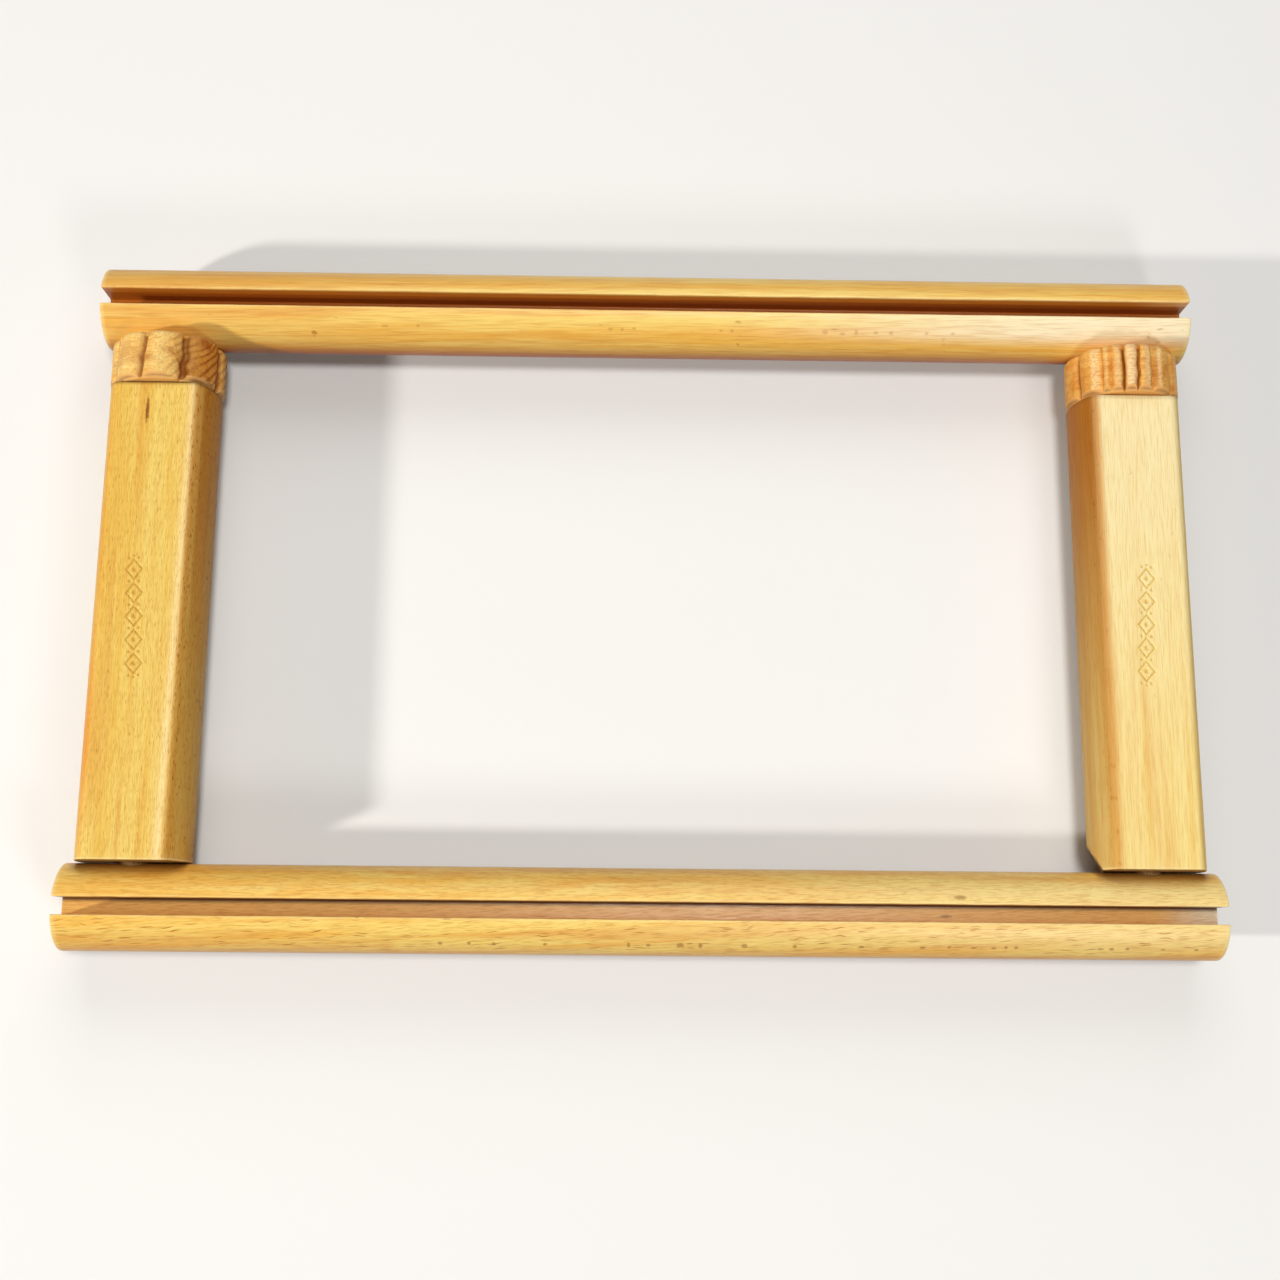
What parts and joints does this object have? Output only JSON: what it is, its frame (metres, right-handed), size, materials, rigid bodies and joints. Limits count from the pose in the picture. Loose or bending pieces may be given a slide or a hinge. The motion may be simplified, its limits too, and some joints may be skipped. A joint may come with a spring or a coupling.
{
  "type": "scroll frame",
  "caption": "Wooden hand scroll frame for embroidery: slotted round rails held apart by flat-fronted arms, with scalloped screw knobs that stretch the cloth.",
  "frame": {"origin": "bottom centre of the frame's box, with the frame lying flat on its back", "axes": "+X along the rails, +Y from the bottom rail to the top rail, +Z out of the front, where the slots open"},
  "size_m": [0.4, 0.2498, 0.041],
  "materials": {
    "rail_beech": "satin oiled beech, grain along the rail",
    "arm_beech": "satin oiled beech, grain along the arm",
    "knob_beech": "redder beech, rough in the grooves",
    "spindle_beech": "plain turned beech",
    "dowel_beech": "plain dowel"
  },
  "bodies": {
    "stand_side": {"bottom_rail": "rail_beech", "left_arm": "arm_beech", "right_arm": "arm_beech", "left_foot_pin": "dowel_beech", "right_foot_pin": "dowel_beech"},
    "sliding_rail": {"top_rail": "rail_beech"},
    "left_screw": {"left_knob": "knob_beech", "left_spindle": "spindle_beech", "left_pivot_pin": "dowel_beech"},
    "right_screw": {"right_knob": "knob_beech", "right_spindle": "spindle_beech", "right_pivot_pin": "dowel_beech"}
  },
  "joints": [
    {"name": "top_rail_slide", "type": "slide", "parent": "stand_side", "child": "sliding_rail", "axis": [0, 1, 0], "range_m": [0, 0.025]},
    {"name": "left_knob_turn", "type": "hinge", "parent": "sliding_rail", "child": "left_screw", "pos_m": [-0.177, 0.0859, 0.0205], "axis": [0, 1, 0], "range_deg": [0, 2250]},
    {"name": "right_knob_turn", "type": "hinge", "parent": "sliding_rail", "child": "right_screw", "pos_m": [0.177, 0.0859, 0.0205], "axis": [0, 1, 0], "range_deg": [0, 2250]}
  ],
  "couplings": [
    {"joint": "left_knob_turn", "follows": "top_rail_slide", "rad_per_m": 1570.8},
    {"joint": "right_knob_turn", "follows": "top_rail_slide", "rad_per_m": 1570.8}
  ]
}
